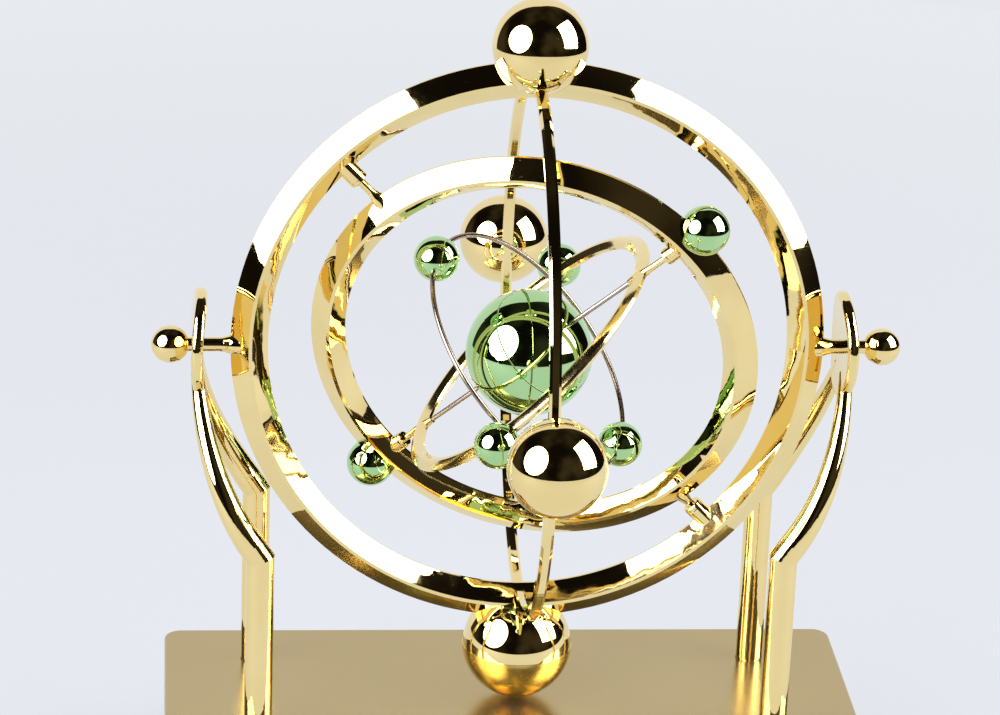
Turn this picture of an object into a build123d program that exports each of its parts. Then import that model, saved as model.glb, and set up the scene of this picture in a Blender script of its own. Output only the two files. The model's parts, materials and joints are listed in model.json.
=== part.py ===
"""Orbital desk spinner: three gold rings that turn inside each other on a two-legged stand.

Millimetres. X runs along the main axle, -Y is the front, Z is up.
The origin is the middle of the resting plane, under the four rubber feet.
"""
import os
from math import cos, radians, sin

from build123d import *

os.makedirs("parts", exist_ok=True)

# ---------------------------------------------------------------- driving dimensions
base_width = 200.0
base_depth = 87.0
base_height = 24.0
foot_height = 2.0
axle_over_base = 108.8
base_corner = 5.0
base_edge = 0.8
wall = 2.0
roof = 2.5
floor_thickness = 2.5

# each ring section is a flat diamond: outer rim, ridge, inner rim and half depth
outer_rim, outer_ridge, outer_bore, outer_depth = 83.6, 78.2, 73.2, 5.0
middle_rim, middle_ridge, middle_bore, middle_depth = 63.6, 58.0, 53.8, 4.2
inner_rim, inner_ridge, inner_bore, inner_depth = 45.0, 42.4, 40.2, 1.7
ridge_land = 1.0
rim_land = 0.4
ring_crown = 0.05         # how far each slope bulges from a straight line
ring_wall = 1.6

gold_ball = 13.3
drive_ball = 15.8
axle_ball = 5.3
green_ball = 6.9
small_green_ball = 6.4
core_ball = 17.9
ball_wall = 1.6

gold_ball_reach = 87.8
drive_ball_reach = 92.2
axle_ball_reach = 100.4
green_ball_reach = 65.4
small_ball_reach = 47.0
wire_reach = 38.4
wire_size = 1.4

cross_inner, cross_outer, cross_width = 74.4, 77.8, 3.2
cross_edge = 0.7
cross_gap = 1.0           # each half stops this far from the outer ring's middle plane

middle_turn = 19.3        # rest angle of the middle ring about its pins, degrees
inner_turn = 88.0         # rest angle of the inner ring about its pins, degrees

middle_play = 1.8         # how far the middle ring has slid down along its pins
inner_play = 1.5          # how far the inner ring has slid down along its pins
rotor_float = 1.5         # the rotor rests this far to the right of the middle of its stand
running_gap = 0.08        # radial play of every pin in its socket
moving_gap = 0.3          # space beside sliding pieces

# ---------------------------------------------------------------- levels and frames
floor_bottom = foot_height
floor_top = floor_bottom + floor_thickness
base_top = foot_height + base_height
roof_under = base_top - roof
axle_z = base_top + axle_over_base

right = Vector(1, 0, 0)
front = Vector(0, -1, 0)
up = Vector(0, 0, 1)
pin_line = (up - right).normalized()            # middle ring's pins, up to the left
cross_line = (up + right).normalized()          # at right angles to them
spin_line = cross_line * cos(radians(middle_turn)) + front * sin(radians(middle_turn))
middle_normal = spin_line.cross(pin_line)
stem_line = pin_line * cos(radians(inner_turn)) + middle_normal * sin(radians(inner_turn))
inner_normal = spin_line.cross(stem_line)

centre = Vector(0, 0, axle_z)
middle_centre = centre - pin_line * middle_play
inner_centre = middle_centre - spin_line * inner_play

outer_plane = Plane(origin=centre, x_dir=right, z_dir=front)
middle_plane = Plane(origin=middle_centre, x_dir=spin_line, z_dir=middle_normal)
inner_plane = Plane(origin=inner_centre, x_dir=spin_line, z_dir=inner_normal)


def section_plane(ring_plane):
    """Plane through the ring's axis: local x is the radius, local y the ring's normal."""
    return Plane(origin=ring_plane.origin, x_dir=ring_plane.x_dir, z_dir=-ring_plane.y_dir)


def spoke_plane(origin, direction, side):
    """Plane for turned pieces that stand on a spoke: local x runs out along the spoke."""
    return Plane(origin=origin, x_dir=direction, z_dir=side)


def crowned_slope(start, end):
    """Slope of a ring section, bulging a little away from the middle of the section."""
    run, rise = end[0] - start[0], end[1] - start[1]
    length = (run ** 2 + rise ** 2) ** 0.5
    outward = 1 if start[1] + end[1] > 0 else -1
    lift = ring_crown * outward * (1 if run > 0 else -1)
    middle = ((start[0] + end[0]) / 2 - rise / length * lift, (start[1] + end[1]) / 2 + run / length * lift)
    ThreePointArc(start, middle, end)


def ring_section(rim, ridge, bore, depth, side):
    """Lines round the front (+1) or back (-1) half of a ring section: a flat diamond."""
    bore_foot = (bore, side * rim_land)
    bore_crest = (ridge - ridge_land / 2, side * depth)
    rim_crest = (ridge + ridge_land / 2, side * depth)
    rim_foot = (rim, side * rim_land)
    Polyline(rim_foot, (rim, 0), (bore, 0), bore_foot)
    crowned_slope(bore_foot, bore_crest)
    Line(bore_crest, rim_crest)
    crowned_slope(rim_crest, rim_foot)


def ring_envelope(ring_plane, *sizes):
    """Whole ring without its hollow: what other pieces are cut against."""
    with BuildPart() as solid:
        with BuildSketch(section_plane(ring_plane)):
            for side in (1, -1):
                with BuildLine():
                    ring_section(*sizes, side)
                make_face()
        revolve(axis=Axis(ring_plane.origin, ring_plane.z_dir))
    return solid.part


def turned(plane, lines, sizes):
    """Solid turned about a spoke; lines draws its closed half outline."""
    with BuildPart() as solid:
        with BuildSketch(plane):
            with BuildLine():
                lines(*sizes)
            make_face()
        revolve(axis=Axis(plane.origin, plane.x_dir))
    return solid.part


outer_sizes = (outer_rim, outer_ridge, outer_bore, outer_depth)
middle_sizes = (middle_rim, middle_ridge, middle_bore, middle_depth)
inner_sizes = (inner_rim, inner_ridge, inner_bore, inner_depth)
outer_envelope = ring_envelope(outer_plane, *outer_sizes)
middle_envelope = ring_envelope(middle_plane, *middle_sizes)
inner_envelope = ring_envelope(inner_plane, *inner_sizes)


# ---------------------------------------------------------------- turned fittings
def flared_pin(rim, tip, foot, foot_reach, shaft):
    """Pin with a buried peg and a trumpet foot that melts into the ring's outer slope."""
    peg_depth = foot_reach + 1.8
    flare = 3.0
    tip_chamfer = 0.4
    Polyline((rim - foot_reach, foot), (rim - foot_reach, shaft), (rim - peg_depth, shaft), (rim - peg_depth, 0),
             (tip, 0), (tip, shaft - tip_chamfer), (tip - tip_chamfer, shaft), (rim + flare, shaft))
    Spline((rim + flare, shaft), (rim - 0.2, shaft + 0.42 * (foot - shaft)), (rim - foot_reach, foot),
           tangents=((-1, 0), (-1, 1)))


def socket_outline(bore_rim, length, radius, bore):
    """Boss on a ring's inner rim with a blind bore for the next ring's pin."""
    mouth = bore_rim - length
    groove_start, groove_end = mouth + 1.1, mouth + 1.5
    groove_radius = radius - 0.25
    lip = 0.3
    Polyline((mouth, bore), (mouth, radius - lip), (mouth + lip, radius), (groove_start, radius),
             (groove_start, groove_radius), (groove_end, groove_radius), (groove_end, radius),
             (bore_rim + socket_root, radius), (bore_rim + socket_root, 0), (bore_rim + bore_depth, 0),
             (bore_rim + bore_depth, bore), close=True)


def socket_plug(bore_rim, length, radius, bore):
    """The same socket without its bore and groove, for the hole that it sits in."""
    Polyline((bore_rim - length, 0), (bore_rim - length, radius), (bore_rim + socket_root, radius),
             (bore_rim + socket_root, 0), close=True)


socket_root = 3.0         # how far a socket is let into its ring
bore_depth = 2.0          # how far its bore goes in
axle_radius = 2.0
middle_pin_radius = 1.2
inner_pin_radius = 1.0
middle_socket = (outer_bore, 4.6, 2.8, middle_pin_radius + running_gap)
inner_socket = (middle_bore, 2.8, 2.4, inner_pin_radius + running_gap)
axle_sizes = (outer_rim, axle_ball_reach + 1.5, 3.8, 4.0, axle_radius)
middle_pin = (middle_rim, outer_bore + bore_depth - middle_play - 0.2, 2.9, 3.3, middle_pin_radius)
inner_pin = (inner_rim, middle_bore + bore_depth - inner_play - 0.2, 1.6, 1.9, inner_pin_radius)

with BuildPart() as left_axle:
    add(turned(spoke_plane(centre, -right, front), flared_pin, axle_sizes))

with BuildPart() as right_axle:
    add(turned(spoke_plane(centre, right, front), flared_pin, axle_sizes))

with BuildPart() as upper_pin_socket:
    add(turned(spoke_plane(centre, pin_line, front), socket_outline, middle_socket))

with BuildPart() as lower_pin_socket:
    add(turned(spoke_plane(centre, -pin_line, front), socket_outline, middle_socket))

with BuildPart() as upper_middle_pin:
    add(turned(spoke_plane(middle_centre, pin_line, middle_normal), flared_pin, middle_pin))

with BuildPart() as lower_middle_pin:
    add(turned(spoke_plane(middle_centre, -pin_line, middle_normal), flared_pin, middle_pin))

with BuildPart() as right_spin_socket:
    add(turned(spoke_plane(middle_centre, spin_line, pin_line), socket_outline, inner_socket))

with BuildPart() as left_spin_socket:
    add(turned(spoke_plane(middle_centre, -spin_line, pin_line), socket_outline, inner_socket))

with BuildPart() as right_spin_pin:
    add(turned(spoke_plane(inner_centre, spin_line, inner_normal), flared_pin, inner_pin))

with BuildPart() as left_spin_pin:
    add(turned(spoke_plane(inner_centre, -spin_line, inner_normal), flared_pin, inner_pin))


# ---------------------------------------------------------------- ring shells
def ring_half(ring_plane, rim, ridge, bore, depth, side, fittings):
    """Front (+1) or back (-1) moulding of a hollow ring; the back one carries a locating rib."""
    rim_wall = ring_wall + 0.3
    pocket = [
        (bore + ring_wall, 0),
        (ridge - ridge_land / 2, side * (depth - ring_wall)),
        (ridge + ridge_land / 2, side * (depth - ring_wall)),
        (rim - rim_wall, 0),
    ]
    with BuildPart() as half:
        with BuildSketch(section_plane(ring_plane)):
            with BuildLine():
                ring_section(rim, ridge, bore, depth, side)
            make_face()
            with BuildLine():
                Polyline(*pocket, close=True)
            make_face(mode=Mode.SUBTRACT)
        revolve(axis=Axis(ring_plane.origin, ring_plane.z_dir))
        if side < 0:
            rib_in, rib_out, rib_top, rib_root = ridge - 0.1, ridge + 0.9, 1.0, 1.0 - depth
            with BuildSketch(section_plane(ring_plane)):
                with BuildLine():
                    Polyline((rib_in, rib_root), (rib_in, rib_top), (rib_out, rib_top), (rib_out, rib_root),
                             close=True)
                make_face()
            revolve(axis=Axis(ring_plane.origin, ring_plane.z_dir))
        for fitting in fittings:
            add(fitting, mode=Mode.SUBTRACT)
    return half.part


outer_fittings = [
    left_axle.part,
    right_axle.part,
    turned(spoke_plane(centre, pin_line, front), socket_plug, middle_socket),
    turned(spoke_plane(centre, -pin_line, front), socket_plug, middle_socket),
]
middle_fittings = [
    upper_middle_pin.part,
    lower_middle_pin.part,
    turned(spoke_plane(middle_centre, spin_line, pin_line), socket_plug, inner_socket),
    turned(spoke_plane(middle_centre, -spin_line, pin_line), socket_plug, inner_socket),
]

with BuildPart() as outer_ring_front:
    add(ring_half(outer_plane, *outer_sizes, 1, outer_fittings))

with BuildPart() as outer_ring_back:
    add(ring_half(outer_plane, *outer_sizes, -1, outer_fittings))

with BuildPart() as middle_ring_front:
    add(ring_half(middle_plane, *middle_sizes, 1, middle_fittings))

with BuildPart() as middle_ring_back:
    add(ring_half(middle_plane, *middle_sizes, -1, middle_fittings))

rod_radius = 0.7
rod_half = inner_rim - 4.0       # stops just short of the ring pins' pegs
lug_radius = 1.5
lug_inner = wire_reach - 1.5
rod_lug_length = 4.2
rod_lug_taper = 6

with BuildPart() as wire_ring:
    with BuildSketch(Plane(origin=inner_centre + stem_line * wire_reach, z_dir=inner_normal)):
        Circle(wire_size / 2)
    revolve(axis=Axis(inner_centre, spin_line))

with BuildPart() as core_rod:
    with BuildSketch(Plane(origin=inner_centre, z_dir=spin_line)):
        Circle(rod_radius)
    extrude(amount=rod_half, both=True)

with BuildPart() as inner_ring:
    add(inner_envelope)
    for direction in (spin_line, -spin_line):
        with BuildSketch(Plane(origin=inner_centre + direction * (inner_ridge + 0.4), z_dir=-direction)):
            Circle(lug_radius)
        extrude(amount=rod_lug_length, taper=rod_lug_taper)
    for direction in (stem_line, -stem_line):
        with BuildSketch(Plane(origin=inner_centre + direction * inner_ridge, z_dir=-direction)):
            Circle(lug_radius)
        extrude(amount=inner_ridge - lug_inner)
    for fitting in (core_rod, wire_ring, right_spin_pin, left_spin_pin):
        add(fitting.part, mode=Mode.SUBTRACT)


# ---------------------------------------------------------------- cross ring and balls
def cross_half(direction):
    """Half of the ring that crosses the outer one, from the top ball round to the drive ball."""
    with BuildPart() as half:
        with BuildSketch(Plane(origin=centre, x_dir=up, z_dir=right)):
            Circle(cross_outer)
            Circle(cross_inner, mode=Mode.SUBTRACT)
        extrude(amount=cross_width / 2, both=True)
        chamfer(half.edges().filter_by(GeomType.CIRCLE), cross_edge)
        add(outer_envelope, mode=Mode.SUBTRACT)
        split(bisect_by=Plane(origin=centre + direction * cross_gap, z_dir=direction), keep=Keep.TOP)
    return half.part


with BuildPart() as cross_ring_front:
    add(cross_half(front))

with BuildPart() as cross_ring_back:
    add(cross_half(-front))


def hollow_ball(place, radius, cutters):
    """Plated plastic ball shell, cut to fit over the pieces it is clamped on."""
    with BuildPart() as ball:
        with Locations(place):
            Sphere(radius)
            Sphere(radius - ball_wall, mode=Mode.SUBTRACT)
        for cutter in cutters:
            add(cutter, mode=Mode.SUBTRACT)
    return ball.part


frame_cutters = [outer_envelope, cross_ring_front.part, cross_ring_back.part]

with BuildPart() as top_ball:
    add(hollow_ball(centre + up * gold_ball_reach, gold_ball, frame_cutters))

with BuildPart() as front_ball:
    add(hollow_ball(centre + front * gold_ball_reach, gold_ball, [cross_ring_front.part]))

with BuildPart() as back_ball:
    add(hollow_ball(centre - front * gold_ball_reach, gold_ball, [cross_ring_back.part]))

drive_centre = centre - up * drive_ball_reach
seam_plane = Plane(origin=drive_centre, z_dir=up)

with BuildPart() as drive_ball_cap:
    add(hollow_ball(drive_centre, drive_ball - 0.15, frame_cutters))
    split(bisect_by=seam_plane, keep=Keep.TOP)

magnet_radius, magnet_height, magnet_floor = 7.0, 4.0, drive_ball - 4.2

with BuildPart() as drive_ball_cup:
    add(hollow_ball(drive_centre, drive_ball, []))
    with BuildSketch(Plane(origin=drive_centre - up * (drive_ball - 0.8), z_dir=up)):
        Circle(magnet_radius + 1.6)
    extrude(amount=magnet_height + 2.6, mode=Mode.ADD)
    with BuildSketch(Plane(origin=drive_centre - up * magnet_floor - up * 1.0, z_dir=up)):
        Circle(magnet_radius)
    extrude(amount=magnet_height + 4.0, mode=Mode.SUBTRACT)
    with Locations(drive_centre):
        Sphere(drive_ball, mode=Mode.INTERSECT)
    split(bisect_by=seam_plane, keep=Keep.BOTTOM)

with BuildPart() as drive_magnet:
    with BuildSketch(Plane(origin=drive_centre - up * (magnet_floor + 1.0), z_dir=up)):
        Circle(magnet_radius)
    extrude(amount=magnet_height)
    chamfer(drive_magnet.edges(), 0.4)


def end_ball(direction, axle):
    with BuildPart() as ball:
        with Locations(centre + direction * axle_ball_reach):
            Sphere(axle_ball)
        add(axle, mode=Mode.SUBTRACT)
    return ball.part


with BuildPart() as left_axle_ball:
    add(end_ball(-right, left_axle.part))

with BuildPart() as right_axle_ball:
    add(end_ball(right, right_axle.part))

with BuildPart() as right_green_ball:
    add(hollow_ball(middle_centre + spin_line * green_ball_reach, green_ball, [middle_envelope]))

with BuildPart() as left_green_ball:
    add(hollow_ball(middle_centre - spin_line * green_ball_reach, green_ball, [middle_envelope]))

with BuildPart() as near_stem_ball:
    add(hollow_ball(inner_centre + stem_line * small_ball_reach, small_green_ball, [inner_ring.part]))

with BuildPart() as far_stem_ball:
    add(hollow_ball(inner_centre - stem_line * small_ball_reach, small_green_ball, [inner_ring.part]))

with BuildPart() as upper_wire_ball:
    add(hollow_ball(inner_centre - inner_normal * wire_reach, small_green_ball, [wire_ring.part]))

with BuildPart() as lower_wire_ball:
    add(hollow_ball(inner_centre + inner_normal * wire_reach, small_green_ball, [wire_ring.part]))


rod_boss_wall = 1.4


def core_half(direction):
    """Half of the core ball with the boss that grips its rod."""
    with BuildPart() as half:
        with Locations(inner_centre):
            Sphere(core_ball)
            Sphere(core_ball - ball_wall, mode=Mode.SUBTRACT)
        with BuildSketch(Plane(origin=inner_centre, z_dir=direction)):
            Circle(rod_radius + rod_boss_wall)
        extrude(amount=core_ball - ball_wall / 2)
        add(core_rod.part, mode=Mode.SUBTRACT)
        split(bisect_by=Plane(origin=inner_centre, z_dir=direction), keep=Keep.TOP)
    return half.part


with BuildPart() as core_ball_right:
    add(core_half(spin_line))

with BuildPart() as core_ball_left:
    add(core_half(-spin_line))

# ---------------------------------------------------------------- side stands
post_y = 24.4
post_radius = 4.0
arm_tip_radius = 1.9
arm_reach = 91.5
arm_steps = 6
arm_top_angle = 4.0
arm_end_angle = 33.4
crease_run = 5.0
hub_radius = 15.0
hub_lift = 1.0
hub_thickness = 3.2
hub_edge = 1.2
spigot_radius = 2.5
groove_depth, groove_height = 0.35, 0.5
post_screw_radius = 1.25
post_screw_depth = 10.0

end_slope = radians(arm_end_angle)
post_x = arm_reach * cos(end_slope) - crease_run * sin(end_slope)
crease_z = axle_z - arm_reach * sin(end_slope) - crease_run * cos(end_slope)


def arm_point(side, depth_side, angle):
    """Point on one arm: it follows a circle round the rotor and spreads like an arch."""
    spread = sin(radians(90 * angle / arm_end_angle)) * post_y
    return Vector(side * arm_reach * cos(radians(angle)), depth_side * spread,
                  axle_z - arm_reach * sin(radians(angle)))


def side_stand(side):
    """One moulding: curved hub plate, two arms and two posts with their spigots."""
    with BuildPart() as stand:
        with BuildSketch(Plane(origin=centre, x_dir=right, z_dir=front)):
            Circle(arm_reach + hub_thickness / 2)
            Circle(arm_reach - hub_thickness / 2, mode=Mode.SUBTRACT)
        extrude(amount=hub_radius, both=True)
        with BuildSketch(Plane(origin=centre + up * hub_lift, x_dir=front, z_dir=right * side)):
            Circle(hub_radius)
        extrude(amount=arm_reach + hub_thickness, mode=Mode.INTERSECT)
        fillet(stand.edges(), hub_edge)
        for depth_side in (-1, 1):
            span = arm_end_angle - arm_top_angle
            angles = [arm_top_angle + span * step / arm_steps for step in range(arm_steps + 1)]
            points = [arm_point(side, depth_side, angle) for angle in angles]
            with BuildLine() as arm_path:
                Spline(*points)
            with BuildSketch(arm_path.line ^ 0):
                Circle(arm_tip_radius)
            with BuildSketch(arm_path.line ^ 1):
                Circle(post_radius)
            sweep(path=arm_path.line, multisection=True)
            with Locations(points[0]):
                Sphere(arm_tip_radius)
            crease = Vector(side * post_x, depth_side * post_y, crease_z)
            foot = Vector(crease.X, crease.Y, base_top)
            with BuildLine() as post_path:
                Polyline(points[-1], crease, foot)
            with BuildSketch(arm_path.line ^ 1):
                Circle(post_radius)
            sweep(path=post_path.line, transition=Transition.RIGHT)
            with BuildSketch(Plane(origin=foot, z_dir=up)):
                Circle(post_radius + groove_depth)
                Circle(post_radius - groove_depth, mode=Mode.SUBTRACT)
            extrude(amount=groove_height, mode=Mode.SUBTRACT)
            with BuildSketch(Plane(origin=foot, z_dir=-up)):
                Circle(spigot_radius)
            extrude(amount=roof)
            with BuildSketch(Plane(origin=foot - up * roof, z_dir=up)):
                Circle(post_screw_radius)
            extrude(amount=post_screw_depth, mode=Mode.SUBTRACT)
        with BuildSketch(Plane(origin=centre, z_dir=right * side)):
            Circle(axle_radius + running_gap)
        extrude(amount=arm_reach + hub_thickness, mode=Mode.SUBTRACT)
    return stand.part


with BuildPart() as left_stand:
    add(side_stand(-1))

with BuildPart() as right_stand:
    add(side_stand(1))

# ---------------------------------------------------------------- base
post_places = [(x, y) for x in (-post_x, post_x) for y in (-post_y, post_y)]
base_screw_places = [(x, y) for x in (-66.0, 66.0) for y in (-36.5, 36.5)]
foot_places = [(x, y) for x in (-88.0, 88.0) for y in (-34.0, 34.0)]
foot_radius = 5.0
foot_recess = 1.0
boss_radius = 3.0
screw_radius = 1.2
screw_head_radius = 2.75

battery_length, battery_width, battery_thickness = 46.4, 26.4, 17.0
battery_x = 71.0
stud_pitch = 12.7
stud_height = 2.6
door_start = 44.0
door_half = 14.6
door_lip = 1.0
door_groove = 1.3

switch_x, switch_z = -52.0, 15.0
switch_travel = 4.0
slider_length, slider_height = 4.0, 3.4

board_x, board_length, board_width, board_thickness = -48.0, 50.0, 40.0, 1.6
board_bottom = floor_top + 5.0
board_top = board_bottom + board_thickness
board_screw_places = [(board_x + x, y) for x in (-21.0, 21.0) for y in (-16.0, 16.0)]

coil_flange, coil_hub, core_radius = 15.0, 4.6, 3.0
flange_thickness = 1.4

with BuildPart() as base_cover:
    with BuildSketch(Plane.XY.offset(floor_top)):
        RectangleRounded(base_width, base_depth, base_corner)
    extrude(amount=base_top - floor_top)
    fillet(base_cover.faces().sort_by(Axis.Z)[-1].edges(), base_edge)
    with BuildSketch(Plane.XY.offset(floor_top)):
        RectangleRounded(base_width - 2 * wall, base_depth - 2 * wall, base_corner - wall)
    extrude(amount=roof_under - floor_top, mode=Mode.SUBTRACT)
    with BuildSketch(Plane.XY.offset(roof_under)):
        with Locations(*base_screw_places):
            Circle(boss_radius)
    extrude(amount=floor_top - roof_under)
    with BuildSketch(Plane.XY.offset(floor_top)):
        with Locations(*base_screw_places):
            Circle(screw_radius)
    extrude(amount=11.0, mode=Mode.SUBTRACT)
    with BuildSketch(Plane.XY.offset(roof_under)):
        with Locations(*post_places):
            Circle(spigot_radius)
    extrude(amount=roof, mode=Mode.SUBTRACT)
    with BuildSketch(Plane(origin=(switch_x, base_depth / 2, switch_z), x_dir=(1, 0, 0), z_dir=(0, -1, 0))):
        Rectangle(slider_length + switch_travel + 2 * moving_gap, slider_height + 2 * moving_gap)
    extrude(amount=wall, mode=Mode.SUBTRACT)

with BuildPart() as base_floor:
    with BuildSketch(Plane.XY.offset(floor_bottom)):
        RectangleRounded(base_width - 1.0, base_depth - 1.0, base_corner - 0.5)
    extrude(amount=floor_thickness)
    chamfer(base_floor.faces().sort_by(Axis.Z)[0].edges(), 0.5)
    with BuildSketch(Plane.XY.offset(floor_top)):
        for side in (-1, 1):
            with Locations((battery_x, side * (door_half + 0.8))):
                Rectangle(battery_length, 1.4)
        with Locations(*board_screw_places):
            Circle(boss_radius)
    extrude(amount=board_bottom - floor_top)
    door_length = base_width / 2 - door_start
    with BuildSketch(Plane.XY.offset(floor_bottom)):
        with Locations((door_start + door_length / 2, 0)):
            Rectangle(door_length, 2 * door_half)
    extrude(amount=floor_thickness, mode=Mode.SUBTRACT)
    with BuildSketch(Plane.XY.offset(floor_bottom + 0.6)):
        with Locations((door_start + door_length / 2, 0)):
            Rectangle(door_length, 2 * (door_half + door_groove))
    extrude(amount=1.4, mode=Mode.SUBTRACT)
    with BuildSketch(Plane.XY.offset(floor_bottom)):
        with Locations(*foot_places):
            Circle(foot_radius)
    extrude(amount=foot_recess, mode=Mode.SUBTRACT)
    with Locations(*[(x, y, floor_bottom) for x, y in base_screw_places]):
        with Locations(Location((0, 0, 0), (180, 0, 0))):
            CounterBoreHole(screw_radius + 0.3, screw_head_radius + 0.25, 1.5, floor_thickness)
    with BuildSketch(Plane.XY.offset(floor_top)):
        with Locations(*board_screw_places):
            Circle(0.9)
    extrude(amount=board_bottom - floor_top, mode=Mode.SUBTRACT)

with BuildPart() as battery_door:
    door_top = floor_top - moving_gap
    door_end = base_width / 2 - 0.5
    door_middle = (door_start + moving_gap + door_end) / 2
    door_run = door_end - door_start - moving_gap
    with BuildSketch(Plane.XY.offset(floor_bottom)):
        with Locations((door_middle, 0)):
            Rectangle(door_run, 2 * (door_half - moving_gap))
    extrude(amount=door_top - floor_bottom)
    with BuildSketch(Plane.XY.offset(floor_bottom + 0.6 + moving_gap)):
        with Locations((door_middle, 0)):
            Rectangle(door_run, 2 * (door_half - moving_gap + door_lip))
    extrude(amount=0.8)
    with BuildSketch(Plane.XY.offset(floor_bottom)):
        with Locations(*[(door_end - 4.0 - 2.4 * step, 0) for step in range(4)]):
            Rectangle(1.0, 16.0)
    extrude(amount=0.5, mode=Mode.SUBTRACT)

with BuildPart() as battery:
    with BuildSketch(Plane.XY.offset(floor_top)):
        with Locations((battery_x, 0)):
            Rectangle(battery_length, battery_width)
    extrude(amount=battery_thickness)
    fillet(battery.edges().filter_by(Axis.X), 1.6)
    stud_face = Plane(origin=(battery_x - battery_length / 2, 0, floor_top + battery_thickness / 2),
                      x_dir=(0, 1, 0), z_dir=(-1, 0, 0))
    with BuildSketch(stud_face):
        with Locations((-stud_pitch / 2, 0)):
            Circle(2.9)
        with Locations((stud_pitch / 2, 0)):
            RegularPolygon(4.0, 6)
    extrude(amount=stud_height)

with BuildPart() as battery_clip:
    with BuildSketch(stud_face.offset(0.6)):
        RectangleRounded(25.0, 12.0, 2.0)
    extrude(amount=stud_height + 0.6)
    with BuildSketch(stud_face.offset(0.6)):
        with Locations((-stud_pitch / 2, 0)):
            Circle(2.95)
        with Locations((stud_pitch / 2, 0)):
            RegularPolygon(4.05, 6)
    extrude(amount=stud_height - 0.6, mode=Mode.SUBTRACT)

with BuildPart() as circuit_board:
    with BuildSketch(Plane.XY.offset(board_bottom)):
        with Locations((board_x, 0)):
            RectangleRounded(board_length, board_width, 1.5)
        with Locations(*board_screw_places):
            Circle(1.1, mode=Mode.SUBTRACT)
    extrude(amount=board_thickness)

with BuildPart() as board_screws:
    with BuildSketch(Plane.XY.offset(board_top)):
        with Locations(*board_screw_places):
            Circle(2.0)
    extrude(amount=1.3)
    fillet(board_screws.faces().sort_by(Axis.Z)[-1].edges(), 0.5)
    with BuildSketch(Plane.XY.offset(board_top)):
        with Locations(*board_screw_places):
            Circle(0.9)
    extrude(amount=-5.5)

with BuildPart() as smoothing_capacitor:
    with BuildSketch(Plane.XY.offset(board_top)):
        with Locations((board_x + 12, 8)):
            Circle(4.0)
    extrude(amount=11.0)
    fillet(smoothing_capacitor.faces().sort_by(Axis.Z)[-1].edges(), 0.6)

with BuildPart() as drive_transistor:
    with BuildSketch(Plane.XY.offset(board_top + 2.0)):
        with Locations((board_x + 10, -8)):
            Circle(2.4)
            with Locations((0, -2.4)):
                Rectangle(5.0, 2.0, mode=Mode.SUBTRACT)
    extrude(amount=4.6)
    with BuildSketch(Plane.XY.offset(board_top)):
        with Locations(*[(board_x + 10 + 1.27 * step, -8) for step in (-1, 0, 1)]):
            Rectangle(0.5, 0.4)
    extrude(amount=2.2)

with BuildPart() as board_diode:
    with BuildSketch(Plane(origin=(board_x - 8, 2, board_top + 1.4), x_dir=(0, 1, 0), z_dir=(1, 0, 0))):
        Circle(1.35)
    extrude(amount=2.6, both=True)

with BuildPart() as coil_bobbin:
    with BuildSketch(Plane.XY.offset(floor_top)):
        Circle(coil_hub)
        Circle(core_radius, mode=Mode.SUBTRACT)
    extrude(amount=roof_under - floor_top)
    for level in (floor_top, roof_under - flange_thickness):
        with BuildSketch(Plane.XY.offset(level)):
            Circle(coil_flange)
            Circle(core_radius, mode=Mode.SUBTRACT)
        extrude(amount=flange_thickness)

with BuildPart() as coil_winding:
    with BuildSketch(Plane.XY.offset(floor_top + flange_thickness)):
        Circle(coil_flange - 1.6)
        Circle(coil_hub, mode=Mode.SUBTRACT)
    extrude(amount=roof_under - floor_top - 2 * flange_thickness)
    fillet(coil_winding.faces().filter_by(Plane.XY).edges().sort_by(SortBy.RADIUS)[-2:], 0.8)

with BuildPart() as coil_core:
    with BuildSketch(Plane.XY.offset(floor_top)):
        Circle(core_radius)
    extrude(amount=roof_under - floor_top)

with BuildPart() as switch_body:
    switch_front = base_depth / 2 - wall
    with Locations((switch_x, switch_front - 3.5, switch_z)):
        Box(14.0, 7.0, 7.6)
    with Locations((switch_x, switch_front - 2.0, switch_z)):
        Box(7.0 + switch_travel, 4.0, 5.2, mode=Mode.SUBTRACT)

with BuildPart() as switch_slider:
    slider_x = switch_x - switch_travel / 2
    with Locations((slider_x, switch_front - 2.0, switch_z)):
        Box(6.2, 3.2, 4.6)
    with Locations((slider_x, switch_front + wall / 2 + 0.6, switch_z)):
        Box(slider_length, wall + 3.2, slider_height)
    with Locations(*[(slider_x + 1.2 * step, base_depth / 2 + 1.2, switch_z) for step in (-1, 0, 1)]):
        Box(0.5, 0.5, slider_height, mode=Mode.SUBTRACT)

with BuildPart() as base_screws:
    with BuildSketch(Plane.XY.offset(floor_bottom + 0.2)):
        with Locations(*base_screw_places):
            Circle(screw_head_radius)
    extrude(amount=1.3)
    with BuildSketch(Plane.XY.offset(floor_bottom + 1.5)):
        with Locations(*base_screw_places):
            Circle(screw_radius)
    extrude(amount=11.0)
    with BuildSketch(Plane.XY.offset(floor_bottom + 0.2)):
        with Locations(*base_screw_places):
            Rectangle(3.2, 0.7)
            Rectangle(0.7, 3.2)
    extrude(amount=0.7, mode=Mode.SUBTRACT)

with BuildPart() as post_screws:
    with BuildSketch(Plane.XY.offset(roof_under)):
        with Locations(*post_places):
            Circle(3.6)
    extrude(amount=-1.8)
    with BuildSketch(Plane.XY.offset(roof_under)):
        with Locations(*post_places):
            Circle(post_screw_radius)
    extrude(amount=9.0)
    with BuildSketch(Plane.XY.offset(roof_under - 1.8)):
        with Locations(*post_places):
            Rectangle(3.6, 0.8)
            Rectangle(0.8, 3.6)
    extrude(amount=0.9, mode=Mode.SUBTRACT)

with BuildPart() as rubber_feet:
    with BuildSketch(Plane.XY):
        with Locations(*foot_places):
            Circle(foot_radius)
    extrude(amount=foot_height + foot_recess)
    chamfer(rubber_feet.faces().sort_by(Axis.Z)[:4].edges(), 0.5)

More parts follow.
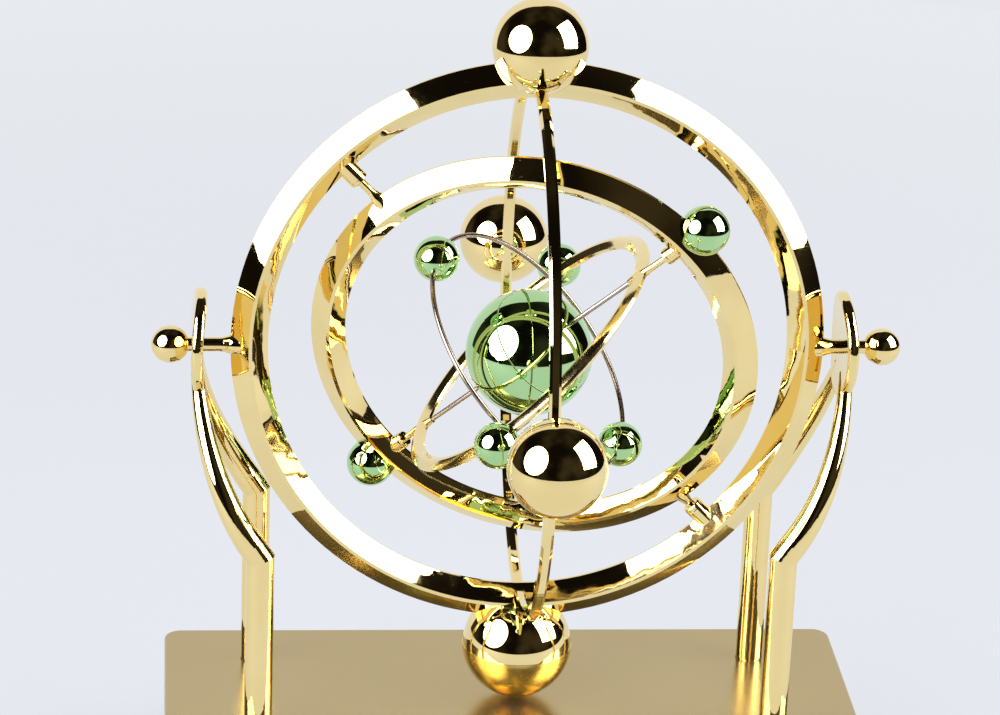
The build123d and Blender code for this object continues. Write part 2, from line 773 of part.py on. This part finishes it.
rotor_pieces = {
    "left_axle": left_axle, "right_axle": right_axle,
    "upper_pin_socket": upper_pin_socket, "lower_pin_socket": lower_pin_socket,
    "upper_middle_pin": upper_middle_pin, "lower_middle_pin": lower_middle_pin,
    "right_spin_socket": right_spin_socket, "left_spin_socket": left_spin_socket,
    "right_spin_pin": right_spin_pin, "left_spin_pin": left_spin_pin,
    "outer_ring_front": outer_ring_front, "outer_ring_back": outer_ring_back,
    "middle_ring_front": middle_ring_front, "middle_ring_back": middle_ring_back,
    "inner_ring": inner_ring, "wire_ring": wire_ring, "core_rod": core_rod,
    "cross_ring_front": cross_ring_front, "cross_ring_back": cross_ring_back,
    "top_ball": top_ball, "front_ball": front_ball, "back_ball": back_ball,
    "drive_ball_cap": drive_ball_cap, "drive_ball_cup": drive_ball_cup, "drive_magnet": drive_magnet,
    "left_axle_ball": left_axle_ball, "right_axle_ball": right_axle_ball,
    "right_green_ball": right_green_ball, "left_green_ball": left_green_ball,
    "near_stem_ball": near_stem_ball, "far_stem_ball": far_stem_ball,
    "upper_wire_ball": upper_wire_ball, "lower_wire_ball": lower_wire_ball,
    "core_ball_right": core_ball_right, "core_ball_left": core_ball_left,
}
stand_pieces = {
    "left_stand": left_stand, "right_stand": right_stand,
    "base_cover": base_cover, "base_floor": base_floor, "battery_door": battery_door,
    "battery": battery, "battery_clip": battery_clip, "circuit_board": circuit_board,
    "board_screws": board_screws, "smoothing_capacitor": smoothing_capacitor,
    "drive_transistor": drive_transistor, "board_diode": board_diode,
    "coil_bobbin": coil_bobbin, "coil_winding": coil_winding, "coil_core": coil_core,
    "switch_body": switch_body, "switch_slider": switch_slider, "base_screws": base_screws,
    "post_screws": post_screws, "rubber_feet": rubber_feet,
}
for name, piece in rotor_pieces.items():
    piece.part.label = name
    export_step(piece.part, f"parts/{name}.step")

for name, piece in stand_pieces.items():
    shifted = piece.part.moved(Location((-rotor_float, 0, 0)))
    shifted.label = name
    export_step(shifted, f"parts/{name}.step")
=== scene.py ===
"""Looks for the orbital desk spinner: materials, stage, lights and camera."""

import json
from math import cos, pi, radians, sin

import bmesh
import bpy
from mathutils import Matrix, Vector


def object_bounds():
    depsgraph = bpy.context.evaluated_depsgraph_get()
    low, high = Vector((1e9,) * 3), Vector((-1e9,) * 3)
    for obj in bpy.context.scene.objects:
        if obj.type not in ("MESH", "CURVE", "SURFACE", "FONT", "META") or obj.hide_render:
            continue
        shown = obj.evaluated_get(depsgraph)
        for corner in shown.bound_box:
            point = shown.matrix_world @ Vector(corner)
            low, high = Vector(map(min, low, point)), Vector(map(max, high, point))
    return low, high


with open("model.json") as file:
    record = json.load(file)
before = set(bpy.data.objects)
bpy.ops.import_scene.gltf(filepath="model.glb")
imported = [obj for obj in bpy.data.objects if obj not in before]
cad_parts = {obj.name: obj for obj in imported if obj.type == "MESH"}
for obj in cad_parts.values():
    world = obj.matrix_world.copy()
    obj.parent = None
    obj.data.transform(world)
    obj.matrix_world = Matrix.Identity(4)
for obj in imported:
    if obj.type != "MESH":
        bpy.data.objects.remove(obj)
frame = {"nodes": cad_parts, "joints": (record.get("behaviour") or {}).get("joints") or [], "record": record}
cad_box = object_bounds()

nodes = frame["nodes"]
record = frame["record"]
scene = bpy.context.scene


axle = next(joint for joint in frame["joints"] if joint["name"] == "outer_ring_spin")
HUB = Vector((0, 0, axle["pos_m"][2]))


# ------------------------------------------------------------------ node helpers
class Shader:
    """A material's node tree with short calls for the nodes used here."""

    def __init__(self, name):
        self.material = bpy.data.materials.new(name)
        self.material.use_nodes = True
        self.tree = self.material.node_tree
        self.bsdf = self.tree.nodes["Principled BSDF"]
        self.coords = self.tree.nodes.new("ShaderNodeTexCoord").outputs["Object"]

    def node(self, kind, **settings):
        made = self.tree.nodes.new(kind)
        for key, value in settings.items():
            setattr(made, key, value)
        return made

    def link(self, output, socket):
        self.tree.links.new(output, socket)

    def set(self, **values):
        for key, value in values.items():
            self.bsdf.inputs[key.replace("_", " ")].default_value = value

    def stretched(self, scale, turn=(0, 0, 0)):
        mapping = self.node("ShaderNodeMapping")
        mapping.inputs["Scale"].default_value = scale
        mapping.inputs["Rotation"].default_value = turn
        self.link(self.coords, mapping.inputs["Vector"])
        return mapping.outputs["Vector"]

    def noise(self, scale, detail=3.0, rough=0.5, vector=None, distort=0.0):
        made = self.node("ShaderNodeTexNoise")
        made.inputs["Scale"].default_value = scale
        made.inputs["Detail"].default_value = detail
        made.inputs["Roughness"].default_value = rough
        made.inputs["Distortion"].default_value = distort
        self.link(vector or self.coords, made.inputs["Vector"])
        return made.outputs["Fac"]

    def ramp(self, value, low, high, start, end):
        made = self.node("ShaderNodeMapRange", clamp=True)
        made.inputs["From Min"].default_value = low
        made.inputs["From Max"].default_value = high
        made.inputs["To Min"].default_value = start
        made.inputs["To Max"].default_value = end
        self.link(value, made.inputs["Value"])
        return made.outputs["Result"]

    def math(self, operation, a, b):
        made = self.node("ShaderNodeMath", operation=operation)
        for socket, value in zip(made.inputs, (a, b)):
            if isinstance(value, (int, float)):
                socket.default_value = value
            else:
                self.link(value, socket)
        return made.outputs["Value"]

    def mix(self, factor, first, second):
        made = self.node("ShaderNodeMix", data_type="RGBA")
        self.link(factor, made.inputs[0])
        for socket, value in ((made.inputs[6], first), (made.inputs[7], second)):
            if isinstance(value, tuple):
                socket.default_value = (*value, 1)
            else:
                self.link(value, socket)
        return made.outputs[2]

    def bump(self, height, distance, below=None):
        made = self.node("ShaderNodeBump")
        made.inputs["Strength"].default_value = 1.0
        made.inputs["Distance"].default_value = distance
        self.link(height, made.inputs["Height"])
        if below:
            self.link(below, made.inputs["Normal"])
        return made.outputs["Normal"]

    def scratches(self, scale, turn, threshold):
        """Sparse hairlines along one direction: 1 on a line, 0 elsewhere."""
        field = self.noise(1.0, 2.0, 0.4, self.stretched(scale, turn))
        return self.ramp(field, threshold, threshold + 0.02, 0.0, 1.0)

    def edges(self, reach):
        """1 along crisp edges, 0 on faces and gentle curves."""
        bevel = self.node("ShaderNodeBevel", samples=4)
        bevel.inputs["Radius"].default_value = reach
        dot = self.node("ShaderNodeVectorMath", operation="DOT_PRODUCT")
        self.link(bevel.outputs["Normal"], dot.inputs[0])
        self.link(self.node("ShaderNodeNewGeometry").outputs["Normal"], dot.inputs[1])
        return self.ramp(dot.outputs["Value"], 0.985, 0.94, 0.0, 1.0)

    def finish(self, colour, roughness, normal=None):
        self.link(colour, self.bsdf.inputs["Base Color"])
        self.link(roughness, self.bsdf.inputs["Roughness"])
        if normal:
            self.link(normal, self.bsdf.inputs["Normal"])
        return self.material


# ------------------------------------------------------------------ materials
# each is: colour, deeper patches, worn edges; on the satin base the pale edge is also a painted edge
# highlight
GOLD = ((0.95, 0.77, 0.37), (0.92, 0.73, 0.33), (0.97, 0.90, 0.70))
GREEN = ((0.50, 0.76, 0.38), (0.44, 0.70, 0.32), (0.78, 0.88, 0.70))
CUP = ((0.90, 0.66, 0.20), (0.86, 0.62, 0.17), (0.97, 0.90, 0.70))
LACQUER = ((0.52, 0.408, 0.196), (0.50, 0.388, 0.182), (0.86, 0.76, 0.5))
# how far the pale edge tint reaches in from an edge, metres: wear, and on the satin base also a painted edge
# highlight
MIRROR_EDGE, SATIN_EDGE = 0.0003, 0.0006
# waviness of the plating: noise scale and depth in metres
BALL_WAVES = (38.0, 0.00003)
GREEN_WAVES = (38.0, 0.00001)
RING_WAVES = (120.0, 0.00010)
INNER_RING_WAVES = (120.0, 0.00016)


def plated(name, colour, deep, pale, wave_scale, wave_depth, gloss=(0.02, 0.07)):
    """Vacuum-plated plastic: a mirror with faint moulding waves, smudges and hairlines."""
    s = Shader(name)
    s.set(Metallic=1.0)
    tone = s.mix(s.ramp(s.noise(55.0, 4.0, 0.6), 0.35, 0.65, 0.0, 1.0), colour, deep)
    pale_edges = s.math("MULTIPLY", s.edges(MIRROR_EDGE), s.ramp(s.noise(420.0), 0.45, 0.62, 0.0, 0.5))
    tone = s.mix(pale_edges, tone, pale)
    smudge = s.ramp(s.noise(95.0, 5.0, 0.65, distort=0.6), 0.48, 0.72, *gloss)
    lines = s.math("MAXIMUM", s.scratches((2600, 90, 2600), (0.5, 0.2, 0.9), 0.735),
                   s.scratches((70, 2300, 2300), (0.1, 1.1, 0.3), 0.74))
    roughness = s.math("ADD", smudge, s.math("MULTIPLY", lines, 0.10))
    waves = s.bump(s.noise(wave_scale, 1.5, 0.4), wave_depth)
    normal = s.bump(s.noise(900.0, 2.0, 0.5), 0.0000014, waves)
    return s.finish(tone, roughness, normal)


def satin_gold():
    """Satin lacquer of the base cover: soft but still clear reflections."""
    s = Shader("satin_gold")
    s.set(Metallic=0.9)
    tone = s.mix(s.ramp(s.noise(14.0, 2.0, 0.5), 0.3, 0.7, 0.0, 1.0), LACQUER[0], LACQUER[1])
    # pale edges: worn lacquer in patches, plus a painted edge highlight, since every edge is lightened at
    # least a tenth of the way
    pale_edges = s.math("MULTIPLY", s.edges(SATIN_EDGE), s.ramp(s.noise(300.0), 0.4, 0.6, 0.1, 0.7))
    tone = s.mix(pale_edges, tone, LACQUER[2])
    grain = s.noise(1.0, 3.0, 0.6, s.stretched((30, 2400, 2400)))
    roughness = s.math("ADD", s.ramp(grain, 0.3, 0.7, 0.19, 0.25),
                       s.ramp(s.noise(60.0, 4.0, 0.6), 0.5, 0.8, 0.0, 0.05))
    fine = s.bump(grain, 0.0000018)
    normal = s.bump(s.noise(2600.0, 2.0, 0.6), 0.0000016, fine)
    return s.finish(tone, roughness, normal)


def metal(name, colour, deep, low, high, grain_scale=(2500, 60, 2500), depth=0.000003):
    """Drawn or turned metal with a directional grain."""
    s = Shader(name)
    s.set(Metallic=1.0)
    grain = s.noise(1.0, 3.0, 0.6, s.stretched(grain_scale))
    tone = s.mix(s.ramp(s.noise(130.0, 4.0, 0.6), 0.35, 0.65, 0.0, 1.0), colour, deep)
    roughness = s.ramp(grain, 0.3, 0.7, low, high)
    return s.finish(tone, roughness, s.bump(grain, depth))


def plastic(name, colour, pale, low, high, grit=1800.0, depth=0.00001, coat=0.0):
    """Moulded or printed plastic with a fine spark-eroded grain."""
    s = Shader(name)
    s.set(Coat_Weight=coat, Coat_Roughness=0.08)
    cloud = s.ramp(s.noise(70.0, 5.0, 0.6), 0.35, 0.7, 0.0, 1.0)
    tone = s.mix(cloud, colour, pale)
    grain = s.noise(grit, 3.0, 0.6)
    roughness = s.ramp(s.noise(240.0, 4.0, 0.6), 0.3, 0.7, low, high)
    return s.finish(tone, roughness, s.bump(grain, depth))


def winding(name):
    """Enamelled copper wire wound in level turns round the vertical coil axis."""
    s = Shader(name)
    s.set(Metallic=1.0, Coat_Weight=0.6, Coat_Roughness=0.1)
    turns = s.node("ShaderNodeTexWave", bands_direction="Z")
    turns.inputs["Scale"].default_value = 480.0
    turns.inputs["Distortion"].default_value = 0.4
    s.link(s.coords, turns.inputs["Vector"])
    tone = s.mix(turns.outputs["Fac"], (0.30, 0.10, 0.035), (0.80, 0.36, 0.15))
    roughness = s.ramp(s.noise(500.0), 0.3, 0.7, 0.18, 0.34)
    return s.finish(tone, roughness, s.bump(turns.outputs["Fac"], 0.0001))


MATERIALS = {
    "mirror_gold": plated("mirror_gold", *GOLD, *BALL_WAVES),
    "satin_gold": satin_gold(),
    "green_chrome": plated("green_chrome", *GREEN, *GREEN_WAVES),
    "bronze_wire": metal("bronze_wire", (0.40, 0.33, 0.28), (0.32, 0.26, 0.215), 0.16, 0.26, depth=0.0000015),
    "steel": metal("steel", (0.46, 0.39, 0.345), (0.38, 0.315, 0.28), 0.16, 0.26, depth=0.0000015),
    "zinc_screw": metal("zinc_screw", (0.72, 0.72, 0.70), (0.62, 0.62, 0.60), 0.22, 0.36),
    "magnet": metal("magnet", (0.78, 0.78, 0.80), (0.70, 0.70, 0.72), 0.12, 0.22),
    "black_plastic": plastic("black_plastic", (0.018, 0.018, 0.02), (0.03, 0.03, 0.033), 0.42, 0.58),
    "battery_case": plastic("battery_case", (0.06, 0.065, 0.08), (0.09, 0.095, 0.11), 0.24, 0.36, coat=0.4),
    "board_green": plastic("board_green", (0.02, 0.13, 0.06), (0.03, 0.17, 0.08), 0.26, 0.4, coat=0.5),
    "capacitor_sleeve": plastic("capacitor_sleeve", (0.02, 0.03, 0.12), (0.03, 0.045, 0.16), 0.25, 0.35,
                                coat=0.4),
    "copper": winding("copper"),
    "white_nylon": plastic("white_nylon", (0.80, 0.79, 0.74), (0.84, 0.83, 0.79), 0.42, 0.52),
    "rubber": plastic("rubber", (0.022, 0.022, 0.022), (0.035, 0.035, 0.035), 0.62, 0.8, 1400.0, 0.00002),
}
ring_gold = plated("ring_gold", *GOLD, *RING_WAVES)
inner_gold = plated("inner_gold", *GOLD, *INNER_RING_WAVES, (0.10, 0.18))
cup_gold = plated("cup_gold", *CUP, *BALL_WAVES, (0.22, 0.30))
SPECIAL = {
    "outer_ring_front": ring_gold,
    "outer_ring_back": ring_gold,
    "middle_ring_front": ring_gold,
    "middle_ring_back": ring_gold,
    "inner_ring": inner_gold,
    "cross_ring_front": ring_gold,
    "cross_ring_back": ring_gold,
    "drive_ball_cup": cup_gold,
}
slot_of = {part["node"]: part["material_slot"] for part in record["subparts"]}
for name, node in nodes.items():
    material = SPECIAL.get(name) or MATERIALS[slot_of[name]]
    if node.material_slots:
        for slot in node.material_slots:
            slot.material = material
    else:
        node.data.materials.append(material)


# ------------------------------------------------------------------ stage and light
PALE = (0.79, 0.815, 0.855)
ROOM = (0.005, 0.004, 0.003)
ROOM_LIT = (0.040, 0.033, 0.021)
CLOUD_SCALE = 0.9
FLOOR_GLOW = (0.655, 0.68, 0.725)
FLOOR_HALF_WIDTH, FLOOR_HALF_DEPTH, FLOOR_SHIFT = 0.95, 1.15, -0.30
FADE_START, FADE_END = 0.35, 0.80
PAPER_WHITE = (0.86, 0.87, 0.91)
# how far the paper reaches sideways and up in the reflections, and how round its outline is
PAPER_WIDTH, PAPER_HEIGHT, PAPER_CURVE = 1.1, 1.48, 1.4


def world_nodes():
    """Pale paper behind the object, a dark room in front: what the mirror surfaces reflect."""
    world = bpy.data.worlds.new("studio")
    world.use_nodes = True
    scene.world = world
    tree = world.node_tree
    background = tree.nodes["Background"]

    def node(kind, **settings):
        made = tree.nodes.new(kind)
        for key, value in settings.items():
            setattr(made, key, value)
        return made

    def math(operation, a, b):
        made = node("ShaderNodeMath", operation=operation)
        for socket, value in zip(made.inputs, (a, b)):
            if isinstance(value, (int, float)):
                socket.default_value = value
            else:
                tree.links.new(value, socket)
        return made.outputs["Value"]

    def step(value, low, high):
        made = node("ShaderNodeMapRange", clamp=True, interpolation_type="SMOOTHSTEP")
        made.inputs["From Min"].default_value = low
        made.inputs["From Max"].default_value = high
        tree.links.new(value, made.inputs["Value"])
        return made.outputs["Result"]

    direction = node("ShaderNodeSeparateXYZ")
    towards = node("ShaderNodeTexCoord").outputs["Generated"]
    tree.links.new(towards, direction.inputs["Vector"])
    x, y, z = direction.outputs
    sideways = math("POWER", math("DIVIDE", math("ABSOLUTE", x, 0.0), PAPER_WIDTH), PAPER_CURVE)
    upwards = math("POWER", math("DIVIDE", math("MAXIMUM", z, 0.0), PAPER_HEIGHT), PAPER_CURVE)
    away = math("POWER", math("MAXIMUM", y, 0.0), PAPER_CURVE)
    paper = step(math("SUBTRACT", away, math("ADD", sideways, upwards)), 0.0, 0.03)
    tinted = node("ShaderNodeMix", data_type="RGBA")
    tree.links.new(paper, tinted.inputs[0])
    cloud = node("ShaderNodeTexNoise")
    cloud.inputs["Scale"].default_value = CLOUD_SCALE
    tree.links.new(towards, cloud.inputs["Vector"])
    room = node("ShaderNodeMix", data_type="RGBA")
    tree.links.new(step(cloud.outputs["Fac"], 0.42, 0.68), room.inputs[0])
    room.inputs[6].default_value = (*ROOM, 1)
    room.inputs[7].default_value = (*ROOM_LIT, 1)
    tree.links.new(room.outputs[2], tinted.inputs[6])
    tinted.inputs[7].default_value = (*PAPER_WHITE, 1)
    seen = node("ShaderNodeMix", data_type="RGBA")
    tree.links.new(node("ShaderNodeLightPath").outputs["Is Camera Ray"], seen.inputs[0])
    tree.links.new(tinted.outputs[2], seen.inputs[6])
    seen.inputs[7].default_value = (*PALE, 1)
    tree.links.new(seen.outputs[2], background.inputs["Color"])


def table_top():
    """Pale paper under the object, fading out at its edge."""
    rings, spokes = 24, 96
    mesh = bpy.data.meshes.new("floor")
    shape = bmesh.new()
    middle = shape.verts.new((0, FLOOR_SHIFT, 0))
    rows = []
    for ring in range(1, rings + 1):
        share = ring / rings
        rows.append([shape.verts.new((FLOOR_HALF_WIDTH * share * cos(2 * pi * k / spokes),
                                      FLOOR_SHIFT + FLOOR_HALF_DEPTH * share * sin(2 * pi * k / spokes), 0))
                     for k in range(spokes)])
    for k in range(spokes):
        shape.faces.new((middle, rows[0][k], rows[0][(k + 1) % spokes]))
    for inner, outer in zip(rows, rows[1:]):
        for k in range(spokes):
            after = (k + 1) % spokes
            shape.faces.new((inner[k], outer[k], outer[after], inner[after]))
    shape.to_mesh(mesh)
    shape.free()
    floor = bpy.data.objects.new("floor", mesh)
    scene.collection.objects.link(floor)
    floor.location.z = cad_box[0][2]
    s = Shader("paper")
    distance = s.node("ShaderNodeVectorMath", operation="LENGTH")
    s.link(s.coords, distance.inputs[0])
    faded = s.ramp(distance.outputs["Value"], FADE_START, FADE_END, 0.0, 1.0)
    patches = s.ramp(s.noise(6.0, 3.0, 0.5), 0.3, 0.7, 0.0, 1.0)
    tone = s.mix(patches, (0.088, 0.090, 0.095), (0.092, 0.094, 0.099))
    tone = s.mix(faded, tone, (0.0, 0.0, 0.0))
    s.finish(tone, s.ramp(s.noise(400.0), 0.3, 0.7, 0.75, 0.85), s.bump(s.noise(1500.0), 0.00001))
    s.link(s.mix(faded, FLOOR_GLOW, PALE), s.bsdf.inputs["Emission Color"])
    s.set(Emission_Strength=1.0, Specular_IOR_Level=0.1)
    floor.data.materials.append(s.material)


def softbox(name, direction, distance, size, power, shape="DISK", size_y=None, long_axis=None):
    """Area lamp that looks at the rotor's middle from one direction."""
    light = bpy.data.lights.new(name, "AREA")
    light.shape = shape
    light.size = size
    if size_y:
        light.size_y = size_y
    light.energy = power
    lamp = bpy.data.objects.new(name, light)
    scene.collection.objects.link(lamp)
    back = direction.normalized()
    across = (long_axis or Vector((0, 0, 1)))
    side = across.cross(back).normalized()
    tall = back.cross(side)
    aim = Matrix((side, tall, back)).transposed().to_4x4()
    lamp.matrix_world = Matrix.Translation(HUB + back * distance) @ aim


# ------------------------------------------------------------------ camera
CAMERA_DISTANCE = 1.1125
CAMERA_PITCH = radians(21.52)
CAMERA_YAW = radians(5.32)
CAMERA_ROLL = radians(-2.17)
LENS = 142.5
SENSOR = 36.0
AIM_RIGHT, AIM_DOWN = 0.00804, -0.00339

forward = Vector((sin(CAMERA_YAW) * cos(CAMERA_PITCH),
                  cos(CAMERA_YAW) * cos(CAMERA_PITCH),
                  -sin(CAMERA_PITCH)))
level_right = Vector((cos(CAMERA_YAW), -sin(CAMERA_YAW), 0))
level_down = forward.cross(level_right)
view_right = level_right * cos(CAMERA_ROLL) + level_down * sin(CAMERA_ROLL)
view_down = -level_right * sin(CAMERA_ROLL) + level_down * cos(CAMERA_ROLL)
eye = HUB - view_right * AIM_RIGHT - view_down * AIM_DOWN - forward * CAMERA_DISTANCE

camera_data = bpy.data.cameras.new("camera")
camera_data.lens = LENS
camera_data.sensor_width = SENSOR
camera = bpy.data.objects.new("camera", camera_data)
scene.collection.objects.link(camera)
turn = Matrix((view_right, -view_down, -forward)).transposed().to_4x4()
camera.matrix_world = Matrix.Translation(eye) @ turn
scene.camera = camera


def from_view(right, up, back):
    """World direction of a direction given along the camera's own axes."""
    return view_right * right - view_down * up - forward * back


world_nodes()
table_top()
softbox("round_softbox", from_view(-0.743, 0.268, 0.613), 1.0, 1.10, 21.0)
softbox("tall_softbox", from_view(0.881, 0.388, 0.27), 0.95, 0.70, 16.0, "RECTANGLE", 0.86,
        from_view(-0.392, 0.9, 0.015))
scene.view_settings.view_transform = "Standard"
